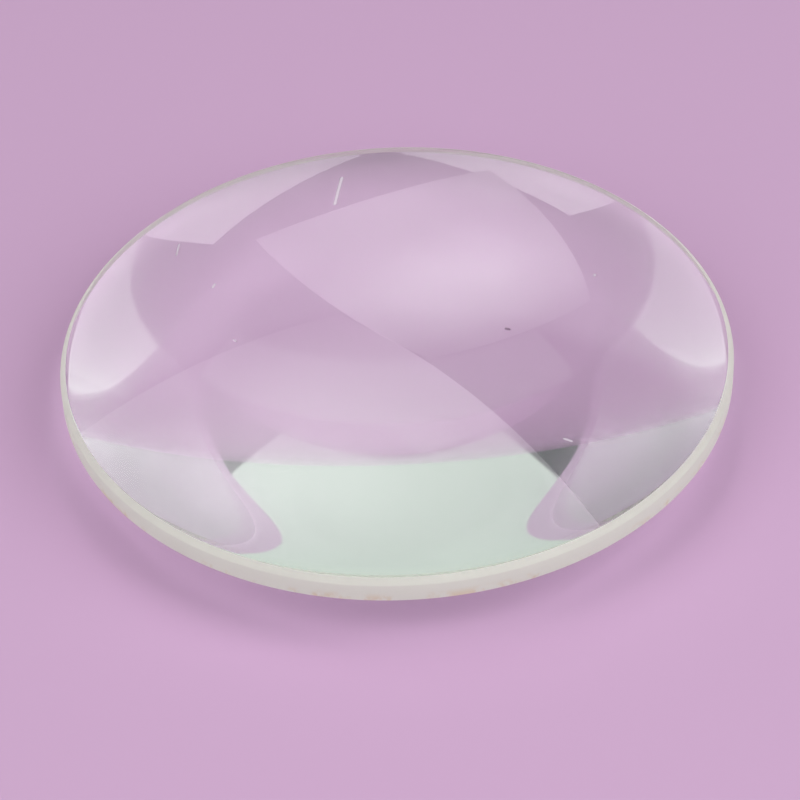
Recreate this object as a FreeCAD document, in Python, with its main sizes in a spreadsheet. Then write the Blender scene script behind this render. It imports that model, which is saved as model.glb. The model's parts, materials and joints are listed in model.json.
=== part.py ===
import FreeCAD, Part
import math
import os

import Sketcher

# Equi-convex crown-glass lens, in millimetres.
#
# The lens lies on a level surface with its optical axis upright. The origin
# is the vertex of the lower face, where the lens touches that surface, and
# +Z is the optical axis. Two polished spherical faces meet a short ground
# cylinder, the edge, and a narrow ground bevel breaks each sharp rim between
# a face and the edge. The centre thickness follows from the other sizes.
# The lower vertex ends in the contact spot, about a micrometre deep, over
# which the lens and the surface under it press flat.

# Driving dimensions: each alias of the sheet with its value and its meaning
DRIVING_SIZES = {
    "diameter": (60.0, "outside diameter of the ground edge"),
    "upper_radius": (102.6, "radius of curvature of the upper face"),
    "lower_radius": (102.6, "radius of curvature of the lower face"),
    "edge_height": (1.65, "height of the ground cylinder between the bevels"),
    "bevel_leg": (0.5, "distance that each bevel reaches in from the edge"),
    "bevel_angle": (45.0, "angle in degrees between each bevel and the axis"),
    "contact_width": (1.0, "diameter of the spot on which the lens rests"),
}

SHEET = "Sizes"
BEVEL_RISE_FORMULA = f"{SHEET}.bevel_leg / tan({SHEET}.bevel_angle * 1 deg)"
PARTS_FOLDER = "parts"
RIGHT_ANGLE = math.pi / 2
FULL_TURN = 360.0
MM3_PER_CM3 = 1000.0

# Elements of the meridian sketch, in the order in which they are drawn
(AXIS_LINE, UPPER_FACE, UPPER_BEVEL, EDGE,
 LOWER_BEVEL, LOWER_FACE, CONTACT_SPOT) = range(7)

# Points of a sketch element, and the sketch's own axes, which count down;
# the first of them starts at the origin
START, END, CENTRE = range(1, 4)
ORIGIN, VERTICAL_AXIS = range(-1, -3, -1)


def add_sheet(doc):
    """Keep the driving dimensions in one sheet, an alias to each row."""
    sheet = doc.addObject("Spreadsheet::Sheet", SHEET)
    for row, (alias, (value, meaning)) in enumerate(DRIVING_SIZES.items(), 1):
        sheet.set(f"A{row}", alias)
        sheet.set(f"B{row}", str(value))
        sheet.set(f"C{row}", meaning)
        sheet.setAlias(f"B{row}", alias)
    doc.recompute()
    return sheet


def origin_plane(body, role):
    """One of the body's own origin planes, found by its role."""
    for feature in body.Origin.OriginFeatures:
        if feature.Role == role:
            return feature
    raise RuntimeError(f"{body.Name} has no origin plane {role}")


def point(x, z):
    """A point of the meridian plane: distance from the axis, and height."""
    return FreeCAD.Vector(x, z, 0)


def face_arc(centre_z, radius, start_angle, end_angle):
    """Arc of a spherical face, with its centre on the optical axis."""
    circle = Part.Circle(point(0, centre_z), FreeCAD.Vector(0, 0, 1), radius)
    return Part.ArcOfCircle(circle, start_angle, end_angle)


def bevel_rise(sheet):
    """Height that each bevel takes up, from its leg and its angle."""
    return sheet.bevel_leg / math.tan(math.radians(sheet.bevel_angle))


def meridian_outline(sheet):
    """Half section of the lens, from the axis round the rim and back.

    Each face is a circular arc that ends at its rim, one bevel leg inside
    the edge. The upper arc starts at its vertex, and the lower one at the
    contact spot. The arcs run anticlockwise.
    """
    edge_x = sheet.diameter / 2
    rim_x = edge_x - sheet.bevel_leg
    contact_x = sheet.contact_width / 2

    contact_angle = math.asin(contact_x / sheet.lower_radius)
    lower_half_angle = math.asin(rim_x / sheet.lower_radius)
    upper_half_angle = math.asin(rim_x / sheet.upper_radius)
    lower_centre_z = sheet.lower_radius * math.cos(contact_angle)
    lower_rim_z = lower_centre_z - sheet.lower_radius * math.cos(lower_half_angle)
    edge_foot_z = lower_rim_z + bevel_rise(sheet)
    edge_top_z = edge_foot_z + sheet.edge_height
    upper_rim_z = edge_top_z + bevel_rise(sheet)
    upper_centre_z = upper_rim_z - sheet.upper_radius * math.cos(upper_half_angle)
    upper_vertex_z = upper_centre_z + sheet.upper_radius

    return {
        AXIS_LINE: Part.LineSegment(point(0, 0), point(0, upper_vertex_z)),
        UPPER_FACE: face_arc(upper_centre_z, sheet.upper_radius,
                             RIGHT_ANGLE - upper_half_angle, RIGHT_ANGLE),
        UPPER_BEVEL: Part.LineSegment(point(rim_x, upper_rim_z), point(edge_x, edge_top_z)),
        EDGE: Part.LineSegment(point(edge_x, edge_top_z), point(edge_x, edge_foot_z)),
        LOWER_BEVEL: Part.LineSegment(point(edge_x, edge_foot_z), point(rim_x, lower_rim_z)),
        LOWER_FACE: face_arc(lower_centre_z, sheet.lower_radius,
                             contact_angle - RIGHT_ANGLE, lower_half_angle - RIGHT_ANGLE),
        CONTACT_SPOT: Part.LineSegment(point(contact_x, 0), point(0, 0)),
    }


def bind(sketch, name, formula, *constraint):
    """Add a dimension to the sketch and tie it to a formula of the sheet."""
    index = sketch.addConstraint(Sketcher.Constraint(*constraint))
    sketch.renameConstraint(index, name)
    sketch.setExpression(f"Constraints.{name}", formula)


def draw_meridian(body, sheet):
    """Sketch of the half section, with every dimension tied to the sheet."""
    sketch = body.newObject("Sketcher::SketchObject", "meridian")
    sketch.AttachmentSupport = (origin_plane(body, "XZ_Plane"), [""])
    sketch.MapMode = "FlatFace"

    outline = meridian_outline(sheet)
    sketch.addGeometry([outline[element] for element in sorted(outline)], False)

    # The outline is closed, starts at the origin, and its two arcs are
    # centred on the optical axis
    for constraint in (
        ("Coincident", AXIS_LINE, START, ORIGIN, START),
        ("Vertical", AXIS_LINE),
        ("Coincident", AXIS_LINE, END, UPPER_FACE, END),
        ("Coincident", UPPER_FACE, START, UPPER_BEVEL, START),
        ("Coincident", UPPER_BEVEL, END, EDGE, START),
        ("Vertical", EDGE),
        ("Coincident", EDGE, END, LOWER_BEVEL, START),
        ("Coincident", LOWER_BEVEL, END, LOWER_FACE, END),
        ("Coincident", LOWER_FACE, START, CONTACT_SPOT, START),
        ("Horizontal", CONTACT_SPOT),
        ("Coincident", CONTACT_SPOT, END, AXIS_LINE, START),
        ("PointOnObject", UPPER_FACE, CENTRE, VERTICAL_AXIS),
        ("PointOnObject", LOWER_FACE, CENTRE, VERTICAL_AXIS),
    ):
        sketch.addConstraint(Sketcher.Constraint(*constraint))

    bind(sketch, "semi_diameter", f"{SHEET}.diameter / 2",
         "DistanceX", ORIGIN, START, EDGE, START, sheet.diameter / 2)
    bind(sketch, "contact_reach", f"{SHEET}.contact_width / 2",
         "DistanceX", ORIGIN, START, CONTACT_SPOT, START, sheet.contact_width / 2)
    bind(sketch, "edge_height", f"{SHEET}.edge_height",
         "DistanceY", EDGE, END, EDGE, START, sheet.edge_height)
    bind(sketch, "upper_radius", f"{SHEET}.upper_radius",
         "Radius", UPPER_FACE, sheet.upper_radius)
    bind(sketch, "lower_radius", f"{SHEET}.lower_radius",
         "Radius", LOWER_FACE, sheet.lower_radius)
    bind(sketch, "upper_bevel_leg", f"{SHEET}.bevel_leg",
         "DistanceX", UPPER_BEVEL, START, UPPER_BEVEL, END, sheet.bevel_leg)
    bind(sketch, "lower_bevel_leg", f"{SHEET}.bevel_leg",
         "DistanceX", LOWER_BEVEL, END, LOWER_BEVEL, START, sheet.bevel_leg)
    bind(sketch, "upper_bevel_rise", BEVEL_RISE_FORMULA,
         "DistanceY", UPPER_BEVEL, END, UPPER_BEVEL, START, bevel_rise(sheet))
    bind(sketch, "lower_bevel_rise", BEVEL_RISE_FORMULA,
         "DistanceY", LOWER_BEVEL, END, LOWER_BEVEL, START, bevel_rise(sheet))
    return sketch


def make_lens(doc, sheet):
    """The lens: one piece of glass, turned round its optical axis."""
    body = doc.addObject("PartDesign::Body", "lens")
    body.Label = "lens"
    body.Placement = FreeCAD.Placement()

    meridian = draw_meridian(body, sheet)
    glass = body.newObject("PartDesign::Revolution", "glass")
    glass.Profile = meridian
    glass.ReferenceAxis = (meridian, ["V_Axis"])
    glass.Angle = FULL_TURN
    return body


def check_document(doc, bodies):
    """Stop if any object failed, or if a body isn't one sound solid."""
    for item in doc.Objects:
        if "Invalid" in item.State or "Error" in item.State:
            raise RuntimeError(f"{item.Name} failed: {item.State}")
    for body in bodies:
        shape = body.Shape
        if shape.isNull() or not shape.isValid() or len(shape.Solids) != 1:
            raise RuntimeError(f"{body.Label} isn't one valid solid")


def report_size(body):
    """Print the overall size, centre thickness and volume of a body."""
    box = body.Shape.BoundBox
    volume_cm3 = body.Shape.Volume / MM3_PER_CM3
    print(f"{body.Label}: diameter {box.XLength:.2f} mm, "
          f"centre thickness {box.ZLength:.2f} mm, volume {volume_cm3:.2f} cm3")


doc = FreeCAD.newDocument("biconvex_lens")
sheet = add_sheet(doc)
bodies = [make_lens(doc, sheet)]
doc.recompute()
check_document(doc, bodies)

os.makedirs(PARTS_FOLDER, exist_ok=True)
for body in bodies:
    report_size(body)
    body.Shape.exportStep(f"{PARTS_FOLDER}/{body.Label}.step")
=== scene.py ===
import json
import math

import bpy
from mathutils import Matrix, Vector


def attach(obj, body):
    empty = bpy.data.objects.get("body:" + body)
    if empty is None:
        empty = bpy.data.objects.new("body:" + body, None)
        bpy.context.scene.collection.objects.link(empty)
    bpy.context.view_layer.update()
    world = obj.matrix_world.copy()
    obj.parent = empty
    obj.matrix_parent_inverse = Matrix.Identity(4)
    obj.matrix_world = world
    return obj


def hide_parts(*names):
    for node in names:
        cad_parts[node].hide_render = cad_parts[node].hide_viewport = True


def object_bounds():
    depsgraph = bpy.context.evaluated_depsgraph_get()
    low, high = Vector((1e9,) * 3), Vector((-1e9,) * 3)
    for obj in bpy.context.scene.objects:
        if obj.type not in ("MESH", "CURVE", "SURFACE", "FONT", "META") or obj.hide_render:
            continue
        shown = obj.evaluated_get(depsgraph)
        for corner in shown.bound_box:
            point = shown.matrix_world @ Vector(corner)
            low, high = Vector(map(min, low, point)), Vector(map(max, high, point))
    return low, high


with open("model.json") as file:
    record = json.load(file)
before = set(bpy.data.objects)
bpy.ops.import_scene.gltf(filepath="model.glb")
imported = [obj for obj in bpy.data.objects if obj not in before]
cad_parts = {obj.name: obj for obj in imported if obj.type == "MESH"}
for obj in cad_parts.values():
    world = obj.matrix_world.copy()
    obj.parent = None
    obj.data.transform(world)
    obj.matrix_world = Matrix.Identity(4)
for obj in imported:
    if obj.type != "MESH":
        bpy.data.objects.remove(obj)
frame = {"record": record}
cad_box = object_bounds()

# The lens, in metres. The edge's mount gives the ground cylinder, and the
# faces are set out from there.
MM = 0.001
UP = Vector((0, 0, 1))
GLASS_NODE = "lens"
EDGE_MOUNT = next(m for m in frame["record"]["mounts"] if m["name"] == "edge")
EDGE_RADIUS = EDGE_MOUNT["dims"]["r_mm"] * MM
EDGE_HEIGHT = EDGE_MOUNT["dims"]["length_mm"] * MM
EDGE_MIDDLE = EDGE_MOUNT["pos_m"][2]
LENS_DIAMETER = 2 * EDGE_RADIUS
FACE_RADIUS = 102.6 * MM
BEVEL_LEG = 0.5 * MM
RIM_RADIUS = EDGE_RADIUS - BEVEL_LEG
RIM_RISE = EDGE_HEIGHT / 2 + BEVEL_LEG
RIM_SAG = FACE_RADIUS - math.sqrt(FACE_RADIUS ** 2 - RIM_RADIUS ** 2)
FACE_CENTRE_DROP = FACE_RADIUS - RIM_SAG - RIM_RISE
CREASE_RADIUS = 0.04 * MM
CREASE_SEGMENTS = 2

# How finely the glass is turned, and how close points are that count as one, as lying on a cut
# or as lying on a ring
ARC_POINTS = 1600
TURN_STEPS = 360
MERGE_GAP = 1e-7
SEAM_GAP = 5e-7
RING_GAP = 2e-6
SMOOTH_ANGLE = math.radians(20)

# Optics of the glass. The light takes up to six turns inside it before it leaves
GLASS_INDEX = 1.523
TINT_COLOUR = (0.475, 0.872, 0.555)
TINT_DENSITY = 6.0
MAX_BOUNCES = 20
GLASS_BOUNCES = 16

# The ground surfaces, outside the rims: white pits over rough glass, and more of them when seen
# from inside the glass
GROUND_START = RIM_RADIUS - CREASE_RADIUS / 2
GROUND_COLOUR = (0.955, 0.94, 0.89)
CUT_COLOUR = (0.97, 0.96, 0.94)
CUT_ROUGHNESS = 0.55
PIT_SHARE = 0.72
PIT_SHARE_INSIDE = 0.95
PIT_GLOW_SHARE = 0.5
GRAIN_SCALE = 9000.0
GRAIN_DETAIL = 3.0
GRAIN_DEPTH = 0.02 * MM
GRAIN_STRENGTH = 0.35

# Stains of polishing compound along the foot of the edge, most of them around one place. They
# show where a cloudy pattern passes these levels
STAIN_COLOUR = (0.80, 0.62, 0.42)
STAIN_SCALE = 420.0
STAIN_DETAIL = 4.0
STAIN_ROUGHNESS = 0.6
STAIN_LEVELS = (0.54, 0.68)
STAIN_HEIGHTS = (EDGE_MIDDLE - 0.55 * EDGE_HEIGHT, EDGE_MIDDLE + 0.1 * EDGE_HEIGHT)
STAIN_MIDDLE = 2.5 * MM
STAIN_SPREAD = (4.0 * MM, 12.0 * MM)
STAIN_PULL = 0.12
STAIN_STRENGTH = 0.75

# Marks on the upper face, seen from above, in millimetres: the two ends, the half width
# and the strength of each mark. The first two light marks are streaks of painted reflection of a
# thin lamp, and the other light marks and the dark one are dust. A mark fades out between these
# shares of its half width
# White of the dust specks and of the two streaks painted as a lamp reflection
DUST_AND_PAINTED_GLINT_COLOUR = (0.92, 0.86, 0.92)
DIRT_COLOUR = (0.16, 0.07, 0.14)
DUST_AND_PAINTED_GLINT_MARKS = (
    ((-4.44, 22.80), (-5.12, 17.40), 0.17, 0.60),
    ((-19.62, 13.90), (-19.80, 12.10), 0.10, 0.45),
    ((-16.10, 6.10), (-16.25, 5.70), 0.13, 0.50),
    ((-14.22, -2.34), (-14.05, -2.55), 0.10, 0.35),
    ((18.16, 5.55), (18.10, 5.35), 0.12, 0.40),
    ((13.90, -15.85), (14.50, -16.05), 0.13, 0.40),
)
DARK_MARKS = (
    ((9.70, -3.02), (9.95, -3.08), 0.14, 0.60),
)
MARK_FADE = (0.5, 1.3)

# Camera: it looks down on the middle of the edge from the photo's side, and that middle lands
# on this pixel
CAMERA_DISTANCE = 268.5 * MM
CAMERA_ELEVATION = math.radians(40.41)
CAMERA_ROLL = math.radians(-2.47)
CAMERA_FOCAL_MM = 135.0
CAMERA_CLIP_START = 0.01
CAMERA_CLIP_END = 20
SENSOR_MM = 36.0
IMAGE_SIZE = 800
MIDDLE_PIXEL = (396.6, 355.9)

# The floor, a hair under the lens, and where far off it starts to glow by itself
FLOOR_DROP = 0.02 * MM
FLOOR_REACH = 4.0
FLOOR_CORNERS = 96
FLOOR_COLOUR = (0.665, 0.435, 0.652)
FAR_FLOOR_RAMP = (0.15, 0.35)
FAR_FLOOR_GLOW = 0.95

# The overhead softbox: one of its corners and the two next to it, and its glow, which rises
# along its length, fades towards three of its sides and has a few hot spots
KEY_CORNER = Vector((-1.39, 12.97, 11.17)) * LENS_DIAMETER
KEY_NEAR_CORNER = Vector((4.75, 1.66, 9.79)) * LENS_DIAMETER
KEY_LEFT_CORNER = Vector((-9.68, 8.98, 10.21)) * LENS_DIAMETER
KEY_GLOWS = (0.9, 3.85)
KEY_RAMP = (-0.52, 0.05)
ALONG, ACROSS = 0, 1
KEY_FADES = (
    (ALONG, (0.06, 0.34), 0.33),
    (ACROSS, (0.10, 0.36), 0.30),
    (ACROSS, (-0.12, -0.46), 0.33),
)
KEY_HOT_SPOTS = ((0.14, -0.05), (0.03, 0.09), (0.38, 0.38))
HOT_SPOT_GLOW = 0.8
HOT_SPOT_REACH = 0.18
KEY_LIT_SHARE = 0.28

# The side softboxes: their distance and tilt, and how far they reach sideways and up, as shares
# of that distance. Each has its azimuth from straight behind the lens, the glow at its foot and
# its top, where in its height the glow changes, and how much of it lights matt surfaces
SIDE_DISTANCE = 0.54
SIDE_TILT = math.radians(27.5)
SIDE_REACH = (-0.34, 0.77)
SIDE_RISE = (-0.5, 0.86)
RIGHT_AZIMUTH = math.radians(132.2)
RIGHT_GLOWS = (3.9, 4.1)
RIGHT_RAMP = (0.0, 0.14)
RIGHT_LIT_SHARE = 0.58
LEFT_AZIMUTH = math.radians(-140.8)
LEFT_GLOWS = (3.1, 4.4)
LEFT_RAMP = (0.13, 0.25)
LEFT_LIT_SHARE = 0.50

# The share of their glow that the side softboxes show in the glass after no more turns than this
SIDE_PLAIN_SHARE = 0.22
STRAIGHT_THROUGH = 2

# The room: the paper sweeps up a little, more so at its sides, and the wall behind it stands
# between two dark gaps
ROOM_LIGHT = 0.2
SWEEP_TOP = math.radians(4.6)
SWEEP_SIDE_RISE = math.radians(9)
SWEEP_SIDES = (math.radians(36), math.radians(66))
SWEEP_SHADE = 0.85
WALL_COLOUR = (0.62, 0.63, 0.63)
WALL_ENDS = (math.radians(-31.5), math.radians(37))
WALL_TOP = math.radians(40)
GAP_COLOUR = (0.13, 0.13, 0.14)
CEILING_COLOUR = (0.08, 0.08, 0.085)
BORDER_BLUR = 0.01
WALL_TOP_BLUR = 0.03


class Value:
    """A number or colour inside a node tree, for writing shader maths as Python expressions."""

    def __init__(self, tree, socket):
        self.tree = tree
        self.socket = socket

    def maths(self, operation, *others):
        return self.tree.maths(operation, self, *others)

    def __add__(self, other):
        return self.maths("ADD", other)

    def __mul__(self, other):
        return self.maths("MULTIPLY", other)

    def __sub__(self, other):
        return self.maths("SUBTRACT", other)

    def __rsub__(self, other):
        return self.tree.maths("SUBTRACT", other, self)

    def __truediv__(self, other):
        return self.maths("DIVIDE", other)

    def __pow__(self, other):
        return self.maths("POWER", other)

    def __gt__(self, other):
        return self.maths("GREATER_THAN", other)

    def __lt__(self, other):
        return self.maths("LESS_THAN", other)

    __radd__ = __add__
    __rmul__ = __mul__


class Tree:
    """A node tree that is filled by expressions."""

    # A Mix node has sockets for each kind of value; these are the ones for colours
    MIX_COLOURS = (6, 7)
    MIX_RESULT = 2

    def __init__(self, nodes):
        self.nodes = nodes.nodes
        self.links = nodes.links
        self.nodes.clear()

    def node(self, kind, settings=None, *values, **named):
        """Any node: its settings first, then values or links by place or by name."""
        node = self.nodes.new(kind)
        for name, setting in (settings or {}).items():
            setattr(node, name, setting)
        wanted = list(enumerate(values)) + [(key.replace("_", " "), v) for key, v in named.items()]
        for key, value in wanted:
            socket = node.inputs[key]
            if isinstance(value, Value):
                self.links.new(value.socket, socket)
            elif value is not None:
                socket.default_value = value
        return node

    def add(self, kind, settings=None, *values, output=0, **named):
        """The same, but it gives back one of the node's outputs, by place or by name."""
        return Value(self, self.node(kind, settings, *values, **named).outputs[output])

    def maths(self, operation, *values):
        return self.add("ShaderNodeMath", {"operation": operation}, *values)

    def mix(self, share, first, second):
        """A colour between two others."""
        node = self.node("ShaderNodeMix", {"data_type": "RGBA"}, share)
        for place, colour in zip(self.MIX_COLOURS, (first, second)):
            if isinstance(colour, Value):
                self.links.new(colour.socket, node.inputs[place])
            else:
                node.inputs[place].default_value = (*colour, 1)
        return Value(self, node.outputs[self.MIX_RESULT])

    def step(self, value, low, high):
        """0 where the value is under low, 1 over high, and a smooth ramp between them."""
        how = {"interpolation_type": "SMOOTHSTEP"}
        return self.add("ShaderNodeMapRange", how, value, low, high, 0.0, 1.0)

    def split(self, vector):
        """The three parts of a vector."""
        parts = self.node("ShaderNodeSeparateXYZ", None, vector).outputs
        return [Value(self, part) for part in parts]

    def ray(self, name):
        """What is known of the ray that has come here, by the name of a Light Path output."""
        return self.add("ShaderNodeLightPath", output=name)


# Modelling helpers

def deselect_all():
    bpy.ops.object.select_all(action="DESELECT")


def edit(piece):
    """Take one piece into edit mode with nothing in it selected."""
    deselect_all()
    piece.select_set(True)
    bpy.context.view_layer.objects.active = piece
    bpy.ops.object.mode_set(mode="EDIT")
    bpy.ops.mesh.select_all(action="DESELECT")


def finish_edit():
    bpy.ops.object.mode_set(mode="OBJECT")


def choose(piece, kind, wanted):
    """Select the vertices or edges of a piece that pass a test, by their places."""
    mode = {"vertices": "VERT", "edges": "EDGE"}[kind]
    bpy.ops.mesh.select_all(action="DESELECT")
    bpy.ops.mesh.select_mode(type=mode)
    bpy.ops.object.mode_set(mode="OBJECT")
    points = piece.data.vertices
    for element in getattr(piece.data, kind):
        if kind == "vertices":
            element.select = wanted(element.co)
        else:
            element.select = all(wanted(points[v].co) for v in element.vertices)
    bpy.ops.object.mode_set(mode="EDIT")


def cut_away(plane_point, plane_normal):
    """Bisect the piece in edit mode and drop what lies on the normal's side."""
    bpy.ops.mesh.select_all(action="SELECT")
    bpy.ops.mesh.bisect(plane_co=plane_point, plane_no=plane_normal,
                        clear_outer=True, threshold=MERGE_GAP)


def extrude_point(step):
    """Draw a straight line on from the selected point."""
    bpy.ops.mesh.extrude_vertices_move(TRANSFORM_OT_translate={"value": step})


def merge_points():
    """Select the whole piece in edit mode and merge the points that lie on each other."""
    bpy.ops.mesh.select_all(action="SELECT")
    bpy.ops.mesh.remove_doubles(threshold=SEAM_GAP)


# The glass

def face_arc(name, centre_z, side):
    """Half section of one polished face, from the axis to its rim; side is 1 for the upper face."""
    deselect_all()
    bpy.ops.mesh.primitive_circle_add(
        vertices=ARC_POINTS, radius=FACE_RADIUS, fill_type="NOTHING",
        location=(0, 0, centre_z), rotation=(math.pi / 2, 0, 0))
    arc = bpy.context.object
    arc.name = name
    bpy.ops.object.transform_apply(location=True, rotation=True, scale=True)
    edit(arc)
    cut_away((0, 0, centre_z), (0, 0, -side))
    cut_away((0, 0, 0), (-1, 0, 0))
    cut_away((RIM_RADIUS, 0, 0), (1, 0, 0))
    finish_edit()
    return arc


def upper_outline():
    """Half section of the upper face, with the bevels and the edge going down from its rim."""
    upper = face_arc("glass", EDGE_MIDDLE - FACE_CENTRE_DROP, 1)
    edit(upper)
    choose(upper, "vertices", lambda p: p.x > RIM_RADIUS - MERGE_GAP)
    extrude_point((BEVEL_LEG, 0, -BEVEL_LEG))
    extrude_point((0, 0, -EDGE_HEIGHT))
    extrude_point((-BEVEL_LEG, 0, -BEVEL_LEG))
    finish_edit()
    return upper


def spot_radius(lower):
    """Distance from the axis of the point where the lower arc reaches the contact plane."""
    return min(p.co.x for p in lower.data.vertices if p.co.z < cad_box[0].z + MERGE_GAP)


def lower_outline():
    """Half section of the lower face, which rests on its small flat contact spot."""
    lower = face_arc("lower_face", EDGE_MIDDLE + FACE_CENTRE_DROP, -1)
    edit(lower)
    floor_z = cad_box[0].z
    cut_away((0, 0, floor_z), (0, 0, -1))
    choose(lower, "vertices", lambda p: p.z < floor_z + MERGE_GAP)
    extrude_point((-spot_radius(lower), 0, 0))
    finish_edit()
    return lower


def round_crease(piece, radius, height):
    """Blunt the two rings at this radius, above and below the middle of the edge."""
    def on_ring(point):
        return (abs(math.hypot(point.x, point.y) - radius) < RING_GAP
                and abs(abs(point.z - EDGE_MIDDLE) - height) < RING_GAP)

    choose(piece, "edges", on_ring)
    bpy.ops.mesh.bevel(offset=CREASE_RADIUS, segments=CREASE_SEGMENTS, affect="EDGES")


def turn_glass():
    """The whole lens: its half section turned once round the optical axis, its creases blunted."""
    outline = upper_outline()
    lower = lower_outline()
    deselect_all()
    outline.select_set(True)
    lower.select_set(True)
    bpy.context.view_layer.objects.active = outline
    bpy.ops.object.join()

    edit(outline)
    merge_points()
    bpy.ops.mesh.spin(steps=TURN_STEPS, angle=math.tau, center=(0, 0, 0), axis=UP)
    merge_points()
    bpy.ops.mesh.normals_make_consistent(inside=False)
    for radius, height in ((RIM_RADIUS, RIM_RISE), (EDGE_RADIUS, EDGE_HEIGHT / 2)):
        round_crease(outline, radius, height)
    bpy.ops.mesh.select_all(action="SELECT")
    bpy.ops.mesh.faces_shade_smooth()
    finish_edit()
    bpy.ops.object.shade_smooth_by_angle(angle=SMOOTH_ANGLE)
    return outline


# Materials

def new_material(name):
    """An empty node material and its tree."""
    material = bpy.data.materials.new(name)
    material.use_nodes = True
    return material, Tree(material.node_tree)


def near_line(x, y, start, end, half_width):
    """1 close to a short line across the lens, fading out to 0 beyond its half width."""
    run, rise = end[0] - start[0], end[1] - start[1]
    along = (x - start[0]) * run + (y - start[1]) * rise
    share = along / (run * run + rise * rise)
    share = share.maths("MAXIMUM", 0.0).maths("MINIMUM", 1.0)
    aside, apart = x - start[0] - share * run, y - start[1] - share * rise
    distance = (aside * aside + apart * apart) ** 0.5
    full, gone = MARK_FADE
    return 1 - x.tree.step(distance, full * half_width, gone * half_width)


def face_marks(x, y, marks):
    """All the marks of one list together, from their places in millimetres."""
    total = 0.0
    for start, end, half_width, strength in marks:
        ends = [tuple(part * MM for part in place) for place in (start, end)]
        total = near_line(x, y, *ends, half_width * MM) * strength + total
    return total


def edge_stain(tree, place):
    """How strongly the ground surface is stained: in blotches low on the front of the edge."""
    x, y, height = tree.split(place)
    cloud = tree.add("ShaderNodeTexNoise", None, place, Scale=STAIN_SCALE, Detail=STAIN_DETAIL,
                     Roughness=STAIN_ROUGHNESS)
    foot = 1 - tree.step(height, *STAIN_HEIGHTS)
    close = 1 - tree.step((x - STAIN_MIDDLE).maths("ABSOLUTE"), *STAIN_SPREAD)
    blotch = tree.step(cloud + STAIN_PULL * close, *STAIN_LEVELS)
    return blotch * foot * (y < 0) * STAIN_STRENGTH


def ground_glass(tree, place, inside):
    """Fine-ground glass: rough and clear, with white pits and a few faint stains."""
    grain = tree.add("ShaderNodeTexNoise", None, place, Scale=GRAIN_SCALE, Detail=GRAIN_DETAIL)
    bump = tree.add("ShaderNodeBump", None, Strength=GRAIN_STRENGTH, Distance=GRAIN_DEPTH,
                    Height=grain)
    cut = tree.add("ShaderNodeBsdfPrincipled", None, Base_Color=(*CUT_COLOUR, 1),
                   Roughness=CUT_ROUGHNESS, IOR=GLASS_INDEX, Transmission_Weight=1.0, Normal=bump)
    frost = tree.add("ShaderNodeBsdfDiffuse", None, Color=(*GROUND_COLOUR, 1), Normal=bump)
    glow = tree.add("ShaderNodeBsdfTranslucent", None, Color=(*GROUND_COLOUR, 1), Normal=bump)
    pits = tree.add("ShaderNodeMixShader", None, PIT_GLOW_SHARE, frost, glow)
    stain = tree.add("ShaderNodeBsdfDiffuse", None, Color=(*STAIN_COLOUR, 1), Normal=bump)
    pits = tree.add("ShaderNodeMixShader", None, edge_stain(tree, place), pits, stain)
    share = PIT_SHARE + (PIT_SHARE_INSIDE - PIT_SHARE) * inside
    return tree.add("ShaderNodeMixShader", None, share, cut, pits)


def marked_face(tree, place, inside):
    """Polished glass, with dust on the upper face and two streaks of painted lamp reflection."""
    x, y, height = tree.split(place)
    on_top = (height > EDGE_MIDDLE) * (1 - inside)
    face = tree.add("ShaderNodeBsdfPrincipled", None, Base_Color=(1, 1, 1, 1), Roughness=0.0,
                    IOR=GLASS_INDEX, Transmission_Weight=1.0)
    # Light marks: dust specks and two streaks of painted lamp reflection, in white. Dark marks:
    # dust
    for colour, marks in ((DUST_AND_PAINTED_GLINT_COLOUR, DUST_AND_PAINTED_GLINT_MARKS), (DIRT_COLOUR, DARK_MARKS)):
        dust_and_glint = tree.add("ShaderNodeBsdfDiffuse", None, Color=(*colour, 1))
        share = face_marks(x, y, marks) * on_top
        face = tree.add("ShaderNodeMixShader", None, share, face, dust_and_glint)
    return face


def optical_glass():
    """Clear crown glass: polished faces, ground edge and bevels, and a faint green in its depth."""
    material, tree = new_material("optical_glass")
    place = tree.add("ShaderNodeTexCoord", output="Object")
    inside = tree.add("ShaderNodeNewGeometry", output="Backfacing")
    x, y = tree.split(place)[:2]
    is_ground = (x * x + y * y) ** 0.5 > GROUND_START
    polished = marked_face(tree, place, inside)
    ground = ground_glass(tree, place, inside)
    surface = tree.add("ShaderNodeMixShader", None, is_ground, polished, ground)
    depth = tree.add("ShaderNodeVolumeAbsorption", None, Color=(*TINT_COLOUR, 1),
                     Density=TINT_DENSITY)
    tree.node("ShaderNodeOutputMaterial", None, Surface=surface, Volume=depth)
    return material


def seen_in_glass(tree):
    """1 on rays that come by way of the glass, before any matt surface."""
    before_matt = tree.ray("Diffuse Depth") < 0.5
    in_glass = (tree.ray("Is Glossy Ray") + tree.ray("Is Transmission Ray")) > 0.5
    return before_matt * in_glass


def seen_plainly(tree):
    """1 on rays from the camera, whether or not they come by way of the glass."""
    return (seen_in_glass(tree) + tree.ray("Is Camera Ray")) > 0.5


def floor_paper():
    """Plain pale lilac paper. Far off, past the lamps' reach, it still looks evenly lit."""
    material, tree = new_material("floor_paper")
    paper = tree.add("ShaderNodeBsdfDiffuse", None, Color=(*FLOOR_COLOUR, 1))
    place = tree.add("ShaderNodeTexCoord", output="Object")
    reach = tree.add("ShaderNodeVectorMath", {"operation": "LENGTH"}, place, output="Value")
    far = tree.step(reach, *FAR_FLOOR_RAMP) * seen_plainly(tree)
    glow = tree.add("ShaderNodeEmission", None, (*FLOOR_COLOUR, 1), FAR_FLOOR_GLOW)
    shown = tree.add("ShaderNodeMixShader", None, far, paper, glow)
    tree.node("ShaderNodeOutputMaterial", None, Surface=shown)
    return material


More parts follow.
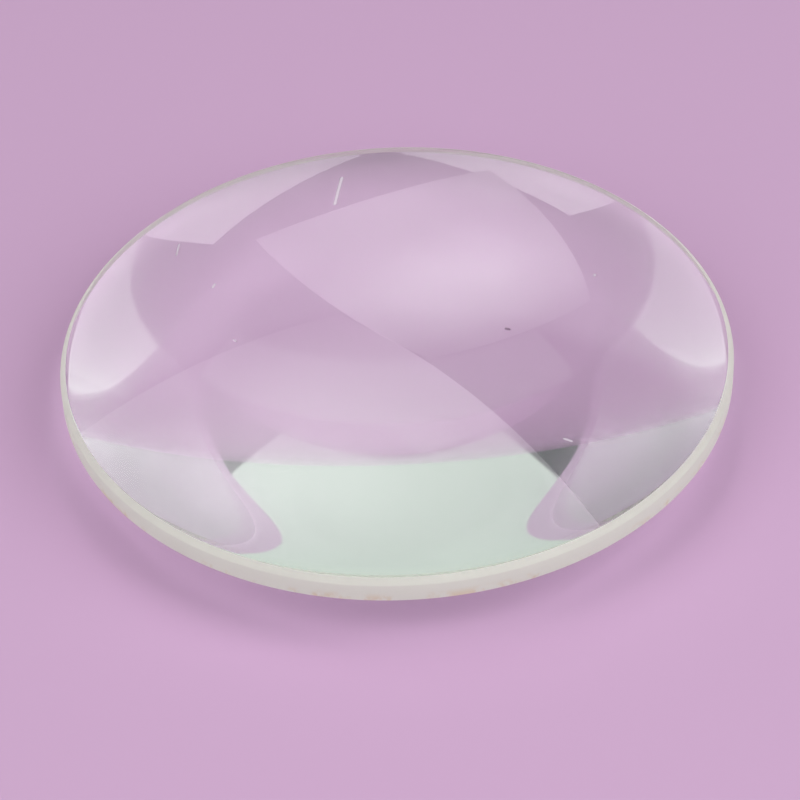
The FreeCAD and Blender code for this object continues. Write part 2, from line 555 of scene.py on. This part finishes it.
def softbox_cloth(name, glow, lit_share, plain_share=1.0):
    """White cloth of a softbox: its full glow shows deep in the glass, and matt surfaces get less.

    Where the glass shows it straight through or by one reflection, it has its plain share.
    """
    material, tree = new_material(name)
    place = tree.add("ShaderNodeTexCoord", output="Object")
    deep = tree.ray("Ray Depth") > STRAIGHT_THROUGH + 0.5
    glass_share = plain_share + (1 - plain_share) * deep
    shown = glow(tree, place) * (lit_share + (glass_share - lit_share) * seen_in_glass(tree))
    back = tree.add("ShaderNodeNewGeometry", output="Backfacing")
    light = tree.add("ShaderNodeEmission", None, shown * (1 - back), 1.0)
    tree.node("ShaderNodeOutputMaterial", None, Surface=light)
    return material


def key_glow(tree, place):
    """Lamps behind the cloth: bright in the middle, and much dimmer towards the far end."""
    parts = tree.split(place)
    far, near = KEY_GLOWS
    glow = far + (near - far) * tree.step(parts[ALONG], *KEY_RAMP)
    for way, ramp, fade in KEY_FADES:
        glow = glow * (1 - fade * tree.step(parts[way], *ramp))
    for spot in KEY_HOT_SPOTS:
        gap = tree.add("ShaderNodeVectorMath", {"operation": "DISTANCE"}, place, (*spot, 0),
                       output="Value")
        glow = glow + HOT_SPOT_GLOW * (1 - tree.step(gap, 0.0, HOT_SPOT_REACH))
    return glow


def side_glow(foot, top, ramp):
    """Glow of a side softbox, which goes from one level to another over this ramp of its height."""
    def glow(tree, place):
        return foot + (top - foot) * tree.step(tree.split(place)[1], *ramp)
    return glow


# Studio

def make_floor():
    """The floor that the lens lies on, wide enough to reach the horizon."""
    deselect_all()
    bpy.ops.mesh.primitive_circle_add(vertices=FLOOR_CORNERS, radius=FLOOR_REACH, fill_type="NGON",
                                      location=(0, 0, -FLOOR_DROP))
    floor = bpy.context.object
    floor.name = "floor"
    floor.data.materials.append(floor_paper())


def softbox(name, middle, across, up, width, height, cloth):
    """A flat rectangular softbox; across and up lie in its cloth, as seen from where it shines."""
    deselect_all()
    bpy.ops.mesh.primitive_plane_add(size=1, location=middle)
    box = bpy.context.object
    box.name = name
    box.rotation_euler = Matrix((across, up, across.cross(up))).transposed().to_euler()
    box.scale = (width, height, 1)
    box.data.materials.append(cloth)
    box.visible_camera = False
    box.visible_shadow = False


def side_softbox(name, azimuth, near_side, cloth):
    """A large softbox that leans in over the lens, from close to the floor up to 68 degrees."""
    level = Vector((math.sin(azimuth), math.cos(azimuth), 0))
    outward = level * math.cos(SIDE_TILT) + UP * math.sin(SIDE_TILT)
    upward = (UP - outward * outward.z).normalized()
    nearer = Vector((-level.y, level.x, 0)) * near_side
    left, right = SIDE_REACH
    low, high = SIDE_RISE
    middle = outward + nearer * (left + right) / 2 + upward * (low + high) / 2
    wide, tall = (right - left) * SIDE_DISTANCE, (high - low) * SIDE_DISTANCE
    softbox(name, middle * SIDE_DISTANCE, outward.cross(upward), upward, wide, tall, cloth)


def overhead_softbox(cloth):
    """The big softbox over the lens, set out from three of its corners."""
    along = KEY_NEAR_CORNER - KEY_CORNER
    aside = KEY_LEFT_CORNER - KEY_CORNER
    middle = KEY_CORNER + (along + aside) / 2
    up = along.cross(aside).cross(along)
    softbox("key", middle, along.normalized(), up.normalized(), along.length, aside.length, cloth)


def studio_lamps():
    """A softbox overhead and one on each side of the camera."""
    overhead_softbox(softbox_cloth("key_cloth", key_glow, KEY_LIT_SHARE))
    right_glow = side_glow(*RIGHT_GLOWS, RIGHT_RAMP)
    left_glow = side_glow(*LEFT_GLOWS, LEFT_RAMP)
    right_cloth = softbox_cloth("right_cloth", right_glow, RIGHT_LIT_SHARE, SIDE_PLAIN_SHARE)
    left_cloth = softbox_cloth("left_cloth", left_glow, LEFT_LIT_SHARE, SIDE_PLAIN_SHARE)
    side_softbox("right_softbox", RIGHT_AZIMUTH, 1, right_cloth)
    side_softbox("left_softbox", LEFT_AZIMUTH, -1, left_cloth)


def room():
    """The paper's far edge and the wall behind it, seen fully by the camera and the glass only."""
    world = bpy.data.worlds.new("room")
    bpy.context.scene.world = world
    world.use_nodes = True
    tree = Tree(world.node_tree)
    x, y, rise = tree.split(tree.add("ShaderNodeTexCoord", output="Generated"))
    azimuth = x.maths("ARCTAN2", y)

    far_sides = tree.step(azimuth.maths("ABSOLUTE"), *SWEEP_SIDES)
    sweep_edge = SWEEP_TOP + SWEEP_SIDE_RISE * far_sides
    over_sweep = tree.step(rise - sweep_edge, -BORDER_BLUR / 2, BORDER_BLUR / 2)
    wall_top = math.sin(WALL_TOP)
    over_wall = tree.step(rise, wall_top - WALL_TOP_BLUR, wall_top + WALL_TOP_BLUR)
    left, right = WALL_ENDS
    past_left = tree.step(azimuth, left - BORDER_BLUR, left + BORDER_BLUR)
    past_right = tree.step(azimuth, right - BORDER_BLUR, right + BORDER_BLUR)
    in_wall = past_left * (1 - past_right)

    sweep = [SWEEP_SHADE * part for part in FLOOR_COLOUR]
    view = tree.mix(in_wall, GAP_COLOUR, WALL_COLOUR)
    view = tree.mix(over_wall, view, CEILING_COLOUR)
    studio = tree.mix(over_sweep, sweep, view)
    plain = tree.mix(over_sweep, sweep, WALL_COLOUR)
    colour = tree.mix(seen_in_glass(tree), plain, studio)

    level = ROOM_LIGHT + (1 - ROOM_LIGHT) * seen_plainly(tree)
    light = tree.add("ShaderNodeVectorMath", {"operation": "SCALE"}, colour, Scale=level)
    sky = tree.add("ShaderNodeBackground", None, light, 1.0)
    tree.node("ShaderNodeOutputWorld", None, Surface=sky)


def make_camera():
    """The camera: at the photo's distance, height and tilt, with the lens at the photo's place."""
    scene = bpy.context.scene
    data = bpy.data.cameras.new("camera")
    data.lens = CAMERA_FOCAL_MM
    data.sensor_width = SENSOR_MM
    data.clip_start = CAMERA_CLIP_START
    data.clip_end = CAMERA_CLIP_END
    camera = bpy.data.objects.new("camera", data)
    scene.collection.objects.link(camera)
    scene.camera = camera

    middle = Vector((0, 0, EDGE_MIDDLE))
    back = Vector((0, -math.cos(CAMERA_ELEVATION), math.sin(CAMERA_ELEVATION)))
    camera.location = middle + back * CAMERA_DISTANCE
    camera.rotation_euler = (-back).to_track_quat("-Z", "Y").to_euler()
    camera.rotation_euler.rotate_axis("Z", CAMERA_ROLL)
    pixel = SENSOR_MM / IMAGE_SIZE / CAMERA_FOCAL_MM
    aside, down = (place - IMAGE_SIZE / 2 for place in MIDDLE_PIXEL)
    camera.rotation_euler.rotate_axis("Y", math.atan(aside * pixel))
    camera.rotation_euler.rotate_axis("X", math.atan(down * pixel))


glass = turn_glass()
glass.name = "lens_glass"
glass.data.materials.append(optical_glass())
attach(glass, "root")
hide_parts(GLASS_NODE)

make_floor()
studio_lamps()
room()
make_camera()

scene = bpy.context.scene
scene.view_settings.view_transform = "Standard"
scene.cycles.max_bounces = MAX_BOUNCES
scene.cycles.glossy_bounces = GLASS_BOUNCES
scene.cycles.transmission_bounces = GLASS_BOUNCES
scene.cycles.blur_glossy = 0.0
